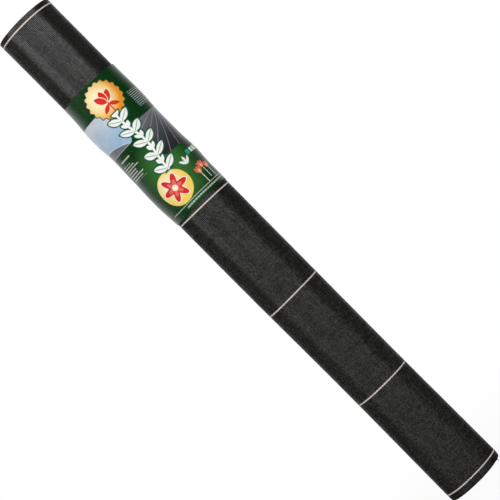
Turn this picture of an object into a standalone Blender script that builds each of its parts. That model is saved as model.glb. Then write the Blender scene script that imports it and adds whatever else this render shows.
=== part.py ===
"""A roll of woven weed control fabric, wound on a cardboard tube and held by a printed sleeve.

Metres, +Z up. The roll stands on its lower end: its axis is Z, and the origin is the middle of
that end. The front of the roll faces -Y, and the fabric's free edge is at the back.
"""

import math

import bmesh
import bpy

# Driving dimensions
fabric_width = 1.000
roll_diameter = 0.1020
core_outer_diameter = 0.038
core_wall = 0.0025

# The real sheet makes about 45 turns. The solid has 20 thicker ones in the same space.
turn_count = 20
turn_gap = 0.0005
steps_per_turn = 40

# Gap between two pieces that touch on the real roll
touch_gap = 0.0003

# Adhesive tapes: one under the fabric's first edge, two over its free edge
tape_thickness = 0.0002
tape_width = 0.048
start_tape_length = 0.040
tail_tape_length = 0.080
tail_tape_ramp_length = 0.008
tail_tape_spacing_shares = (0.5, 2.5)
tail_tape_names = ("tail_tape_lower", "tail_tape_middle")

# Pale guide lines, woven in parallel with the sheet's length
guide_line_count = 6
guide_line_width = 0.0019
guide_line_thickness = 0.0002
guide_line_upper_margin = 0.0093
guide_line_lower_margin = 0.0131
guide_line_tail_margin = 0.0012

# Printed sleeve: one turn of film with a lap at the back
sleeve_height = 0.2494
sleeve_top_margin = 0.144
sleeve_film = 0.0004
sleeve_slide_clearance = 0.00035
sleeve_lap_length = 0.024
sleeve_lap_gap = 0.0006
sleeve_lap_ramp_length = 0.012
sleeve_lap_lead_length = 0.0015
sleeve_tail_ramp_length = 0.018
sleeve_steps_per_turn = 72
seam_tape_width = 0.020
seam_tape_end_margin = 0.004
seam_tape_ramp_length = 0.003

# Azimuths, anticlockwise from +X as seen from above
free_edge_azimuth = math.radians(75.0)
sleeve_start_azimuth = math.radians(110.0)
tape_step = math.radians(3.0)
smooth_angle = math.radians(35.0)
full_turn = 2.0 * math.pi

# Values of the modelling tools
merge_distance = 0.0001
millimetres_per_metre = 1000.0

# Sizes that follow from the driving dimensions. The outer turn's mean radius is half a pitch
# under the free edge's, and it gives the roll's diameter.
core_radius = core_outer_diameter / 2.0
first_turn_radius = core_radius + touch_gap + tape_thickness + touch_gap
layer_pitch = (roll_diameter / 2.0 + turn_gap - first_turn_radius) / (turn_count + 0.5)
layer_thickness = layer_pitch - turn_gap
free_edge_radius = first_turn_radius + turn_count * layer_pitch + layer_thickness
guide_lines_reach = fabric_width - guide_line_upper_margin - guide_line_lower_margin
guide_line_spacing = guide_lines_reach / (guide_line_count - 1)
sleeve_bottom = fabric_width - sleeve_top_margin - sleeve_height
sleeve_lift = touch_gap + max(tape_thickness, guide_line_thickness) + sleeve_slide_clearance
sleeve_lap_lift = sleeve_film + sleeve_lap_gap


def clear_scene():
    """Remove whatever the file holds before the roll is made."""
    for thing in list(bpy.data.objects):
        bpy.data.objects.remove(thing, do_unlink=True)


def finish(name, colour, roughness, metallic=0.0):
    """A plain material with one colour."""
    material = bpy.data.materials.new(name)
    material.use_nodes = True
    shader = material.node_tree.nodes["Principled BSDF"]
    shader.inputs["Base Color"].default_value = (*colour, 1.0)
    shader.inputs["Roughness"].default_value = roughness
    shader.inputs["Metallic"].default_value = metallic
    return material


def ease(share):
    """A smooth rise from 0 to 1, level at both ends."""
    held = min(max(share, 0.0), 1.0)
    return held * held * (3.0 - 2.0 * held)


def angle_of(length):
    """The angle that a length takes on the roll's outside."""
    return length / free_edge_radius


def steps_between(start, end, step):
    """Azimuths from start to end, evenly spaced at about the given step."""
    count = max(1, round((end - start) / step))
    return [start + (end - start) * index / count for index in range(count + 1)]


def turns_back(azimuth):
    """How far an azimuth lies behind the free edge, from 0 up to 1 turn."""
    return ((free_edge_azimuth - azimuth) / full_turn) % 1.0


def over_the_roll(azimuth, lift, ramp):
    """Radius of a skin on the outer turn, which steps down past the free edge within the ramp."""
    back = turns_back(azimuth)
    ramp_share = ramp / full_turn
    bridge = layer_pitch * ease((back - 1.0 + ramp_share) / ramp_share)
    return free_edge_radius - layer_pitch * back + bridge + lift


def polar(radius, azimuth, height):
    """A point from its radius, azimuth and height."""
    return (radius * math.cos(azimuth), radius * math.sin(azimuth), height)


def make_strip_mesh(name, azimuths, inner, thickness, height):
    """A closed strip on edge around Z. inner holds the radius of its inner side at each azimuth."""
    shape = bmesh.new()
    sections = []
    for azimuth, radius in zip(azimuths, inner):
        corners = (
            polar(radius, azimuth, 0.0),
            polar(radius + thickness, azimuth, 0.0),
            polar(radius + thickness, azimuth, height),
            polar(radius, azimuth, height),
        )
        sections.append([shape.verts.new(corner) for corner in corners])
    for near, far in zip(sections, sections[1:]):
        for corner in range(4):
            after = (corner + 1) % 4
            shape.faces.new((near[corner], far[corner], far[after], near[after]))
    shape.faces.new(sections[0])
    shape.faces.new(reversed(sections[-1]))
    bmesh.ops.recalc_face_normals(shape, faces=shape.faces)
    mesh = bpy.data.meshes.new(name)
    shape.to_mesh(mesh)
    shape.free()
    mesh.shade_smooth()
    mesh.set_sharp_from_angle(angle=smooth_angle)
    return mesh


def place(name, mesh, material, height, parent=None):
    """Put a mesh on the roll's axis at a height, or on its parent's axis at a height above it."""
    thing = bpy.data.objects.new(name, mesh)
    thing.location = (0.0, 0.0, height)
    thing.parent = parent
    bpy.context.scene.collection.objects.link(thing)
    if not mesh.materials:
        mesh.materials.append(material)
    return thing


def make_core_tube():
    """The cardboard tube, flush with both ends of the fabric."""
    inner = core_radius - core_wall
    profile = (
        (core_radius, fabric_width),
        (core_radius, 0.0),
        (inner, 0.0),
        (inner, fabric_width),
    )
    shape = bmesh.new()
    corners = [shape.verts.new((across, 0.0, up)) for across, up in profile]
    for corner, after in zip(corners, corners[1:] + corners[:1]):
        shape.edges.new((corner, after))
    mesh = bpy.data.meshes.new("core_tube")
    shape.to_mesh(mesh)
    shape.free()
    tube = place("core_tube", mesh, finish("cardboard", (0.36, 0.24, 0.14), 0.9), 0.0)
    turned = tube.modifiers.new("turned", "SCREW")
    turned.angle = full_turn
    turned.screw_offset = 0.0
    turned.steps = steps_per_turn
    turned.render_steps = steps_per_turn
    turned.use_merge_vertices = True
    turned.merge_threshold = merge_distance
    turned.use_smooth_shade = True


def make_start_tape():
    """The tape between the tube and the first edge of the fabric, which it holds."""
    start = free_edge_azimuth
    end = start + start_tape_length / core_radius
    azimuths = steps_between(start, end, tape_step)
    inner = [core_radius + touch_gap] * len(azimuths)
    mesh = make_strip_mesh("start_tape", azimuths, inner, tape_thickness, tape_width)
    middle = (fabric_width - tape_width) / 2.0
    place("start_tape", mesh, finish("start_tape_film", (0.62, 0.55, 0.40), 0.45), middle)


def winding_path():
    """Azimuths and inner radii of the wound sheet, from its first edge to its free edge."""
    start = free_edge_azimuth - turn_count * full_turn
    azimuths = steps_between(start, free_edge_azimuth, full_turn / steps_per_turn)
    inner = [
        first_turn_radius + layer_pitch * (azimuth - start) / full_turn for azimuth in azimuths
    ]
    return azimuths, inner


def make_fabric_winding():
    """The sheet, wound in one unbroken spiral."""
    azimuths, inner = winding_path()
    mesh = make_strip_mesh("fabric_winding", azimuths, inner, layer_thickness, fabric_width)
    place("fabric_winding", mesh, finish("woven_black", (0.028, 0.028, 0.031), 0.62), 0.0)
    print_least_gap("fabric_winding", azimuths, inner, layer_thickness)


def make_guide_lines():
    """The pale lines where they show, each along the outer turn at its place across the width."""
    margin = angle_of(guide_line_tail_margin)
    start = free_edge_azimuth - full_turn + margin
    azimuths = steps_between(start, free_edge_azimuth - margin, full_turn / steps_per_turn)
    inner = [
        free_edge_radius - layer_pitch * (free_edge_azimuth - azimuth) / full_turn + touch_gap
        for azimuth in azimuths
    ]
    mesh = make_strip_mesh(
        "guide_line", azimuths, inner, guide_line_thickness, guide_line_width
    )
    pale = finish("pale_tape_yarn", (0.55, 0.49, 0.38), 0.55)
    for index in range(guide_line_count):
        centre = fabric_width - guide_line_upper_margin - index * guide_line_spacing
        place(f"guide_line_{index + 1}", mesh, pale, centre - guide_line_width / 2.0)


def make_tail_tapes():
    """The two tapes that hold the free edge, each midway between two guide lines."""
    half = angle_of(tail_tape_length / 2.0)
    ramp = angle_of(tail_tape_ramp_length)
    azimuths = steps_between(free_edge_azimuth - half, free_edge_azimuth + half, tape_step)
    inner = [over_the_roll(azimuth, touch_gap, ramp) for azimuth in azimuths]
    mesh = make_strip_mesh("tail_tape", azimuths, inner, tape_thickness, tape_width)
    film = finish("tail_tape_film", (0.58, 0.52, 0.38), 0.3)
    for name, share in zip(tail_tape_names, tail_tape_spacing_shares):
        centre = guide_line_lower_margin + share * guide_line_spacing
        place(name, mesh, film, centre - tape_width / 2.0)


def sleeve_inner(travelled):
    """Inner radius of the sleeve after an angle from its inner edge, which its lap covers."""
    ramp = angle_of(sleeve_tail_ramp_length)
    lap_ramp = angle_of(sleeve_lap_ramp_length)
    raised_from = full_turn - angle_of(sleeve_lap_lead_length)
    lap = sleeve_lap_lift * ease((travelled - raised_from + lap_ramp) / lap_ramp)
    return over_the_roll(sleeve_start_azimuth + travelled, sleeve_lift, ramp) + lap


def make_label_sleeve():
    """The printed film round the roll, which slides along it, and the tape that closes its lap."""
    whole = full_turn + angle_of(sleeve_lap_length)
    travels = steps_between(0.0, whole, full_turn / sleeve_steps_per_turn)
    azimuths = [sleeve_start_azimuth + travelled for travelled in travels]
    inner = [sleeve_inner(travelled) for travelled in travels]
    mesh = make_strip_mesh("label_sleeve", azimuths, inner, sleeve_film, sleeve_height)
    printed = finish("printed_film", (0.02, 0.16, 0.045), 0.22)
    sleeve = place("label_sleeve", mesh, printed, sleeve_bottom)
    print_least_gap("label_sleeve", azimuths, inner, sleeve_film)
    make_sleeve_seam_tape(sleeve, whole)


def make_sleeve_seam_tape(sleeve, whole):
    """The clear tape over the sleeve's outer edge. It steps down from the lap to the single film."""
    half = angle_of(seam_tape_width / 2.0)
    ramp = angle_of(seam_tape_ramp_length)
    travels = steps_between(whole - half, whole + half, tape_step / 2.0)
    inner = []
    for travelled in travels:
        above = sleeve_inner(min(travelled, whole))
        below = sleeve_inner(travelled - full_turn)
        down = ease((travelled - whole) / ramp)
        inner.append(above + (below - above) * down + sleeve_film + touch_gap)
    azimuths = [sleeve_start_azimuth + travelled for travelled in travels]
    height = sleeve_height - 2.0 * seam_tape_end_margin
    mesh = make_strip_mesh("sleeve_seam_tape", azimuths, inner, tape_thickness, height)
    clear = finish("clear_tape_film", (0.66, 0.68, 0.66), 0.15)
    place("sleeve_seam_tape", mesh, clear, seam_tape_end_margin, parent=sleeve)


def distance_to_side(point, near, far):
    """Distance in plan from a point to the straight side between two others."""
    along = (far[0] - near[0], far[1] - near[1])
    away = (point[0] - near[0], point[1] - near[1])
    length_squared = along[0] ** 2 + along[1] ** 2
    share = (away[0] * along[0] + away[1] * along[1]) / length_squared
    held = min(max(share, 0.0), 1.0)
    return math.hypot(away[0] - held * along[0], away[1] - held * along[1])


def print_least_gap(name, azimuths, inner, thickness):
    """Print the least gap between a wound strip and its own next turn, measured on its points."""
    inside = [polar(radius, azimuth, 0.0) for azimuth, radius in zip(azimuths, inner)]
    outside = [
        polar(radius + thickness, azimuth, 0.0) for azimuth, radius in zip(azimuths, inner)
    ]
    gaps = []
    for azimuth, point in zip(azimuths, inside):
        for index in range(len(azimuths) - 1):
            if full_turn / 2.0 < azimuth - azimuths[index] < full_turn * 1.5:
                gaps.append(distance_to_side(point, outside[index], outside[index + 1]))
    for azimuth, point in zip(azimuths, outside):
        for index in range(len(azimuths) - 1):
            if full_turn / 2.0 < azimuths[index] - azimuth < full_turn * 1.5:
                gaps.append(distance_to_side(point, inside[index], inside[index + 1]))
    print(f"{name}: least gap to itself {min(gaps) * millimetres_per_metre:.3f} mm")


def main():
    """Build the roll, from its tube outwards."""
    clear_scene()
    make_core_tube()
    make_start_tape()
    make_fabric_winding()
    make_guide_lines()
    make_tail_tapes()
    make_label_sleeve()


main()
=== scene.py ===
"""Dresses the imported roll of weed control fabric: the woven sheet on its cardboard tube, the guide
yarns, the tapes and the printed film sleeve, in a plain white studio. All sizes are in metres."""

import logging
import math
from collections.abc import Sequence
from dataclasses import dataclass, field
from enum import Enum, IntEnum

import bpy
import numpy as np
from mathutils import Matrix, Vector


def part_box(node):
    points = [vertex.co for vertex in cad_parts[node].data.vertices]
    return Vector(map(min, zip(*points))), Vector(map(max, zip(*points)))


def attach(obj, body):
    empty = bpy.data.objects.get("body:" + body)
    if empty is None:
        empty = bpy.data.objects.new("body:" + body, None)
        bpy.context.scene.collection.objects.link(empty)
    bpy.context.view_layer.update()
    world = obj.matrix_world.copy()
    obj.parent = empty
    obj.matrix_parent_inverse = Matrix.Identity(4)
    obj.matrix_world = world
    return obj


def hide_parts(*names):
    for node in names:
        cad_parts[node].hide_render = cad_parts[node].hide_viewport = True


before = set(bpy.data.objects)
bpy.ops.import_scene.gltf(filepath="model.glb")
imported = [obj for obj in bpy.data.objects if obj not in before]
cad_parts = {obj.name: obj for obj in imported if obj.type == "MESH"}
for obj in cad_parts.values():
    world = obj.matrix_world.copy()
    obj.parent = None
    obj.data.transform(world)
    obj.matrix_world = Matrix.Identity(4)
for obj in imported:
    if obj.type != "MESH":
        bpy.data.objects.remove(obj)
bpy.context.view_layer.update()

log = logging.getLogger("weed_fabric_roll")

METRES_MAP = "SheetMetres"
BAKE_MAP = "OFBake"
FULL_TURN = 2 * math.pi
FREE_EDGE_AZIMUTH = math.radians(75)
FRONT_AZIMUTH = math.radians(270)
MM_PER_METRE = 1000.0
SHEET_WIDTH = 1.0
GUIDE_WEFT_PITCH = 0.0042

Colour = tuple[float, float, float, float]
Ink = Colour | bpy.types.NodeSocket


class Body(Enum):
    """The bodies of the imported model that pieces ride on."""

    ROLL = "roll"
    SLEEVE = "sleeve"


class Slot(Enum):
    """The record's material slots."""

    CARDBOARD = "core_cardboard"
    TAPE = "tape"
    FABRIC = "woven_fabric"
    YARN = "guide_yarn"
    FILM = "printed_film"
    CLEAR_TAPE = "clear_tape"


class RollEnd(Enum):
    """The two ends of the roll, by the way out along its axis."""

    UPPER = 1
    LOWER = -1


class SheetPart(IntEnum):
    """The sides of a sheet's mesh, in the order that they are built in."""

    OUTER = 0
    INNER = 1
    LOWER_RIM = 2
    UPPER_RIM = 3
    FIRST_RIM = 4
    LAST_RIM = 5


def rgb(red: float, green: float, blue: float) -> Colour:
    """Returns a colour with full alpha from its linear parts."""
    return (red, green, blue, 1.0)


WHITE = rgb(1.0, 1.0, 1.0)


class Value:
    """A number that varies over a surface. Its operators add Math nodes."""

    def __init__(self, nodes: "ShaderNodes", socket: bpy.types.NodeSocket) -> None:
        """Keeps the socket and the tree that it is in.

        Args:
            nodes: the builder of that tree.
            socket: the output that gives the number.
        """
        self.nodes = nodes
        self.socket = socket

    def _math(self, operation: str, *inputs: "Value | float") -> "Value":
        """Returns the result of a Math node with these inputs."""
        return self.nodes.math(operation, *inputs)

    def __add__(self, other: "Value | float") -> "Value":
        """Returns self + other."""
        return self._math("ADD", self, other)

    __radd__ = __add__

    def __sub__(self, other: "Value | float") -> "Value":
        """Returns self - other."""
        return self._math("SUBTRACT", self, other)

    def __rsub__(self, other: "Value | float") -> "Value":
        """Returns other - self."""
        return self._math("SUBTRACT", other, self)

    def __mul__(self, other: "Value | float") -> "Value":
        """Returns self * other."""
        return self._math("MULTIPLY", self, other)

    __rmul__ = __mul__

    def __truediv__(self, other: "Value | float") -> "Value":
        """Returns self / other."""
        return self._math("DIVIDE", self, other)

    def __rtruediv__(self, other: "Value | float") -> "Value":
        """Returns other / self."""
        return self._math("DIVIDE", other, self)

    def __pow__(self, other: "Value | float") -> "Value":
        """Returns self to the power of other."""
        return self._math("POWER", self, other)

    def __mod__(self, other: "Value | float") -> "Value":
        """Returns the remainder, which is never below zero."""
        return self._math("FLOORED_MODULO", self, other)

    def __neg__(self) -> "Value":
        """Returns -self."""
        return self._math("MULTIPLY", self, -1.0)

    def __abs__(self) -> "Value":
        """Returns the size of self."""
        return self._math("ABSOLUTE", self)

    def floor(self) -> "Value":
        """Returns the whole part."""
        return self._math("FLOOR", self)

    def sin(self) -> "Value":
        """Returns the sine."""
        return self._math("SINE", self)

    def cos(self) -> "Value":
        """Returns the cosine."""
        return self._math("COSINE", self)

    def least(self, other: "Value | float") -> "Value":
        """Returns the smaller of the two."""
        return self._math("MINIMUM", self, other)

    def most(self, other: "Value | float") -> "Value":
        """Returns the larger of the two."""
        return self._math("MAXIMUM", self, other)

    def reach(self, other: "Value") -> "Value":
        """Returns how far the point with these two coordinates is from zero."""
        return self._math("SQRT", self * self + other * other)

    def clamp(self) -> "Value":
        """Returns self held between 0 and 1."""
        return self.nodes.math("ADD", self, 0.0, clamp=True)

    def ramp(self, start: float, slope: float) -> "Value":
        """Returns a straight rise from 0 at the start, held between 0 and 1."""
        return ((self - start) * slope).clamp()

    def toward(self, other: "Value", share: "Value") -> "Value":
        """Returns self where the share is 0, and the other where it is 1."""
        return self + (other - self) * share

    def cover(self, softness: float) -> "Value":
        """Turns a signed distance into a mask.

        Args:
            softness: the width over which the mask goes from 1 inside to 0 outside.

        Returns:
            The mask, 1 where the distance is negative.
        """
        return self.nodes.math("SUBTRACT", 0.5, self / softness, clamp=True)


class ShaderNodes:
    """Builds one node tree, of a material or of the world."""

    def __init__(self, tree: bpy.types.NodeTree) -> None:
        """Empties the tree.

        Args:
            tree: the node tree to fill.
        """
        self.tree = tree
        tree.nodes.clear()

    def node(
        self,
        kind: str,
        settings: dict[str, object] | None = None,
        sockets: dict[str | int, object] | None = None,
    ) -> bpy.types.Node:
        """Adds a node.

        Args:
            kind: the node's type name.
            settings: its properties, which are set first.
            sockets: values or links for its inputs, by name or number.

        Returns:
            The node.
        """
        made = self.tree.nodes.new(kind)
        for name, setting in (settings or {}).items():
            setattr(made, name, setting)
        for key, given in (sockets or {}).items():
            target = made.inputs[key]
            given = given.socket if isinstance(given, Value) else given
            if isinstance(given, bpy.types.NodeSocket):
                self.tree.links.new(given, target)
            else:
                target.default_value = given
        return made

    def value(self, node: bpy.types.Node, output: str | int) -> Value:
        """Returns the number that one of a node's outputs gives."""
        return Value(self, node.outputs[output])

    def math(self, operation: str, *inputs: Value | float, clamp: bool = False) -> Value:
        """Adds a Math node.

        Args:
            operation: the node's operation.
            inputs: its one or two inputs.
            clamp: whether the result is held between 0 and 1.

        Returns:
            The result.
        """
        settings = {"operation": operation, "use_clamp": clamp}
        return self.value(self.node("ShaderNodeMath", settings, dict(enumerate(inputs))), 0)

    def mix(self, factor: Value | float, first: Ink, second: Ink) -> bpy.types.NodeSocket:
        """Mixes two colours.

        Args:
            factor: 0 for the first colour, 1 for the second.
            first: a colour or a link.
            second: a colour or a link.

        Returns:
            The mixed colour.
        """
        settings = {"data_type": "RGBA", "clamp_factor": True}
        return self.node("ShaderNodeMix", settings, {0: factor, 6: first, 7: second}).outputs[2]

    def tint(self, colour: bpy.types.NodeSocket, factor: Value) -> bpy.types.NodeSocket:
        """Returns a colour multiplied by a number."""
        made = self.node("ShaderNodeVectorMath", {"operation": "SCALE"}, {0: colour, "Scale": factor})
        return made.outputs[0]

    def split(self, vector: bpy.types.NodeSocket) -> tuple[Value, Value]:
        """Returns the first two numbers of a vector."""
        made = self.node("ShaderNodeSeparateXYZ", sockets={0: vector})
        return self.value(made, 0), self.value(made, 1)

    def noise(
        self, x: Value, y: Value, scale: float, detail: float = 2.0, roughness: float = 0.5
    ) -> Value:
        """Adds soft noise.

        Args:
            x: the first coordinate of the point that it is read at.
            y: the second.
            scale: how many features there are to one unit of these.
            detail: how many finer layers it has.
            roughness: how strong those are.

        Returns:
            The noise, from 0 to 1, mostly near 0.5.
        """
        point = self.node("ShaderNodeCombineXYZ", sockets={0: x, 1: y}).outputs[0]
        made = self.node(
            "ShaderNodeTexNoise",
            {"noise_dimensions": "3D"},
            {"Vector": point, "Scale": scale, "Detail": detail, "Roughness": roughness},
        )
        return self.value(made, 0)

    def random_of(self, number: Value) -> Value:
        """Returns a random number from 0 to 1 that is the same wherever the number is."""
        return self.value(self.node("ShaderNodeTexWhiteNoise", {"noise_dimensions": "1D"}, {"W": number}), 0)

    def bump(self, height: Value, depth: float) -> bpy.types.NodeSocket:
        """Returns the normal for a height from 0 to 1, where 1 stands this many metres out."""
        made = self.node("ShaderNodeBump", sockets={"Strength": 1.0, "Distance": depth, "Height": height})
        return made.outputs[0]

    def surface(self, sockets: dict[str | int, object]) -> bpy.types.NodeSocket:
        """Adds a Principled shader with these inputs and returns its output."""
        return self.node("ShaderNodeBsdfPrincipled", sockets=sockets).outputs[0]

    def blend(
        self, share: Value, first: bpy.types.NodeSocket, second: bpy.types.NodeSocket
    ) -> bpy.types.NodeSocket:
        """Returns the first shader where the share is 0, and the second where it is 1."""
        return self.node("ShaderNodeMixShader", sockets={0: share, 1: first, 2: second}).outputs[0]

    def end(self, shader: bpy.types.NodeSocket, kind: str = "ShaderNodeOutputMaterial") -> None:
        """Joins a shader to the tree's output.

        Args:
            shader: the last shader.
            kind: the output node's type.
        """
        self.node(kind, sockets={"Surface": shader})


class SheetNodes(ShaderNodes):
    """Builds a sheet's material, from the place in metres along the sheet and across it."""

    def __init__(self, name: str) -> None:
        """Starts the material.

        Args:
            name: its name.
        """
        self.material = bpy.data.materials.new(name)
        self.material.use_nodes = True
        super().__init__(self.material.node_tree)
        places = self.node("ShaderNodeUVMap", {"uv_map": METRES_MAP}).outputs[0]
        self.along, self.across = self.split(places)

    def grain(self, scale: float, detail: float = 2.0, roughness: float = 0.5) -> Value:
        """Returns noise with this many features to a metre, as fine along the sheet as across it."""
        return self.noise(self.along, self.across, scale, detail, roughness)

    def dress(self, sockets: dict[str | int, object]) -> bpy.types.Material:
        """Ends the material with a Principled shader with these inputs, and returns it."""
        self.end(self.surface(sockets))
        return self.material


@dataclass(frozen=True)
class WovenFinish:
    """Black plain weave of flat plastic tapes, with a denser band along both side edges."""

    warp_pitch: float = 0.0024
    weft_pitch: float = 0.0025
    warp_numbers_from: float = 5000.0
    cell_number_steps: tuple[float, float] = (0.731, 9.173)
    dark: Colour = rgb(0.0032, 0.0032, 0.0023)
    light: Colour = rgb(0.0085, 0.0085, 0.0062)
    upper_band: float = 0.0080
    lower_band: float = 0.0118
    band_softness: float = 0.0012
    edge_shade: float = 0.5
    crimp_depth: float = 0.0004
    crown_power: float = 6.0
    warp_flatness: float = 0.72
    tape_lean: float = 1.5
    float_lean: float = 0.4
    gloss: float = 1.0
    least_sheen: float = 0.12
    # These two add gloss toward the upper end and a little more with each step up: painted highlight for
    # brighter light at the top of the roll.
    top_highlight_from: float = 0.78
    rise_of_sheen: float = 0.12
    streaks_per_metre: float = 60.0
    streak_fineness: tuple[float, float] = (11.0, 0.6)
    clouds_per_metre: float = 55.0
    glint_from: float = 0.86
    pillow_range: tuple[float, float] = (0.20, 1.6)
    rim_ramp: tuple[float, float] = (0.42, 2.8)
    rim_share: float = 0.38
    turned_ramp: tuple[float, float] = (0.15, 2.6)
    turned_share: float = 0.86

    def make(self) -> bpy.types.Material:
        """Returns the fabric's material."""
        nodes = SheetNodes("black_woven_tape")
        along, across = nodes.along, nodes.across
        column, row = along / self.weft_pitch, across / self.warp_pitch
        column_number, row_number = column.floor(), row.floor()
        column_place = column - column_number - 0.5
        row_place = row - row_number - 0.5
        warp_on_top = (column_number + row_number) % 2.0
        beside = column_place.toward(row_place, warp_on_top)
        lengthwise = row_place.toward(column_place, warp_on_top)
        tape_number = column_number.toward(row_number + self.warp_numbers_from, warp_on_top)
        tape_shade = nodes.random_of(tape_number + 0.5)
        column_step, row_step = self.cell_number_steps
        cell_shade = nodes.random_of(column_number * column_step + row_number * row_step)
        fine, coarse = self.streak_fineness
        streaks = nodes.noise(along * fine, across * coarse, self.streaks_per_metre, 1.0)
        cross_streaks = nodes.noise(along * coarse, across * fine, self.streaks_per_metre, 1.0)
        both_streaks = streaks + cross_streaks - 1.0
        clouds = nodes.grain(self.clouds_per_metre, 1.0)
        crown = 1.0 - (abs(beside) * 2.0) ** self.crown_power
        arch = (lengthwise * math.pi).cos() * (1.0 - warp_on_top * self.warp_flatness)
        lean = streaks.toward(cross_streaks, warp_on_top) - 0.5
        tilt = beside * lean * self.tape_lean + lengthwise * (cell_shade - 0.5) * self.float_lean
        shade = (
            tape_shade * 0.40
            + both_streaks * 0.8
            + (clouds - 0.5) * 0.3
            + (cell_shade - 0.5) * 0.8
            + (cell_shade - self.glint_from).most(0.0) * 4.0
            + crown * 0.3
            - 0.25
        ).clamp()
        plain = {
            "Base Color": nodes.tint(
                nodes.mix(shade, self.dark, self.light), 1.0 - self.edge_band(across) * self.edge_shade
            ),
            "Roughness": 0.44 - (tape_shade + cell_shade) * 0.08,
            "Anisotropic": 0.85,
            "Anisotropic Rotation": 0.25,
            "Normal": nodes.bump(crown * 0.25 + arch * 0.5 + tilt, self.crimp_depth),
        }
        glossy = nodes.surface({**plain, "Specular IOR Level": self.gloss})
        matte = nodes.surface({**plain, "Specular IOR Level": 0.0})
        # Above the first of the two heights, and slightly all the way up, the sheen grows with height:
        # painted highlight standing in for brighter light on the upper end.
        sheen = (
            cell_shade ** 2.0 * 0.42
            + (tape_shade - 0.5) * 0.15
            + both_streaks * 0.6
            + (clouds - 0.5) * 0.28
            + (across - self.top_highlight_from).most(0.0)
            + across * self.rise_of_sheen
            + 0.36
        ).most(self.least_sheen)
        pillow = (1.0 - column_place * column_place * 4.0) * (1.0 - row_place * row_place * 4.0)
        hollow, raised = self.pillow_range
        dull = 1.0 - sheen * (1.0 - self.turned_away(nodes)) * (pillow * raised + hollow)
        nodes.end(nodes.blend(dull, glossy, matte))
        return nodes.material

    def edge_band(self, across: Value) -> Value:
        """Returns 1 on the denser bands along the sheet's side edges, 0 between them."""
        above = SHEET_WIDTH - self.upper_band - across
        return (across - self.lower_band).least(above).cover(self.band_softness)

    def turned_away(self, nodes: ShaderNodes) -> Value:
        """Returns how much duller the weave is where it turns away from view, but for a thin bright rim."""
        facing = nodes.value(nodes.node("ShaderNodeLayerWeight", sockets={"Blend": 0.5}), "Facing")
        rim = facing.ramp(*self.rim_ramp) * self.rim_share
        return facing.ramp(*self.turned_ramp) * self.turned_share - rim


@dataclass(frozen=True)
class CutEdgeFinish:
    """The side edge of the sheet, where its layers show at the roll's ends."""

    dark: Colour = rgb(0.010, 0.010, 0.011)
    light: Colour = rgb(0.060, 0.060, 0.063)
    tufts_per_metre: float = 480.0
    patches_per_metre: float = 14.0
    tuft_depth: float = 0.0003

    def make(self) -> bpy.types.Material:
        """Returns the edge's material."""
        nodes = SheetNodes("black_sheet_edge")
        tufts = nodes.grain(self.tufts_per_metre, 2.0, 0.7)
        patches = nodes.grain(self.patches_per_metre, 2.0, 0.6)
        shade = (tufts * 1.6 - 0.62 + patches * 0.35).clamp()
        return nodes.dress(
            {
                "Base Color": nodes.mix(shade, self.dark, self.light),
                "Roughness": 0.72 - tufts * 0.2,
                "Normal": nodes.bump(tufts, self.tuft_depth),
            }
        )


@dataclass(frozen=True)
class GuideYarnFinish:
    """The pale yarn that is woven in along the sheet."""

    pale: Colour = rgb(0.66, 0.595, 0.54)
    shaded: Colour = rgb(0.42, 0.37, 0.32)
    fibres_per_metre: float = 900.0
    fibre_depth: float = 0.00008
    stains_per_metre: float = 90.0

    def make(self) -> bpy.types.Material:
        """Returns the yarn's material."""
        nodes = SheetNodes("pale_guide_yarn")
        dip = (nodes.along * (FULL_TURN / GUIDE_WEFT_PITCH)).cos() * 0.5 + 0.5
        fibres = nodes.noise(nodes.along * 0.2, nodes.across * 6.0, self.fibres_per_metre)
        stains = nodes.grain(self.stains_per_metre)
        shade = (dip ** 5.0 * 0.5 + (fibres - 0.5) * 0.7 + (stains - 0.4) * 0.5).clamp()
        return nodes.dress(
            {
                "Base Color": nodes.mix(shade, self.pale, self.shaded),
                "Roughness": 0.42 + fibres * 0.2,
                "Normal": nodes.bump(fibres, self.fibre_depth),
            }
        )


@dataclass(frozen=True)
class CardboardFinish:
    """Brown board wound in a spiral, with its seam."""

    pale: Colour = rgb(0.46, 0.33, 0.21)
    dark: Colour = rgb(0.27, 0.175, 0.10)
    girth: float = 0.119
    seam_pitch: float = 0.105
    seam_width: float = 0.0009
    seam_softness: float = 0.0006
    fibres_per_metre: float = 420.0
    flecks_per_metre: float = 1300.0
    relief: float = 0.00018

    def make(self) -> bpy.types.Material:
        """Returns the board's material."""
        nodes = SheetNodes("spiral_cardboard")
        around, height = nodes.along, nodes.across
        fibres = nodes.noise(around * 3.0, height * 0.6, self.fibres_per_metre, 4.0, 0.65)
        flecks = nodes.grain(self.flecks_per_metre, 2.0, 0.7)
        turn = (height / self.seam_pitch + around / self.girth) % 1.0
        seam = (abs(turn - 0.5) * self.seam_pitch - self.seam_width).cover(self.seam_softness)
        shade = ((fibres - 0.35) * 1.5 + (flecks - 0.5) * 0.5 + seam * 0.6).clamp()
        return nodes.dress(
            {
                "Base Color": nodes.mix(shade, self.pale, self.dark),
                "Roughness": 0.82 + fibres * 0.12,
                "Normal": nodes.bump(fibres * 0.5 + flecks * 0.3 - seam, self.relief),
            }
        )


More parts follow.
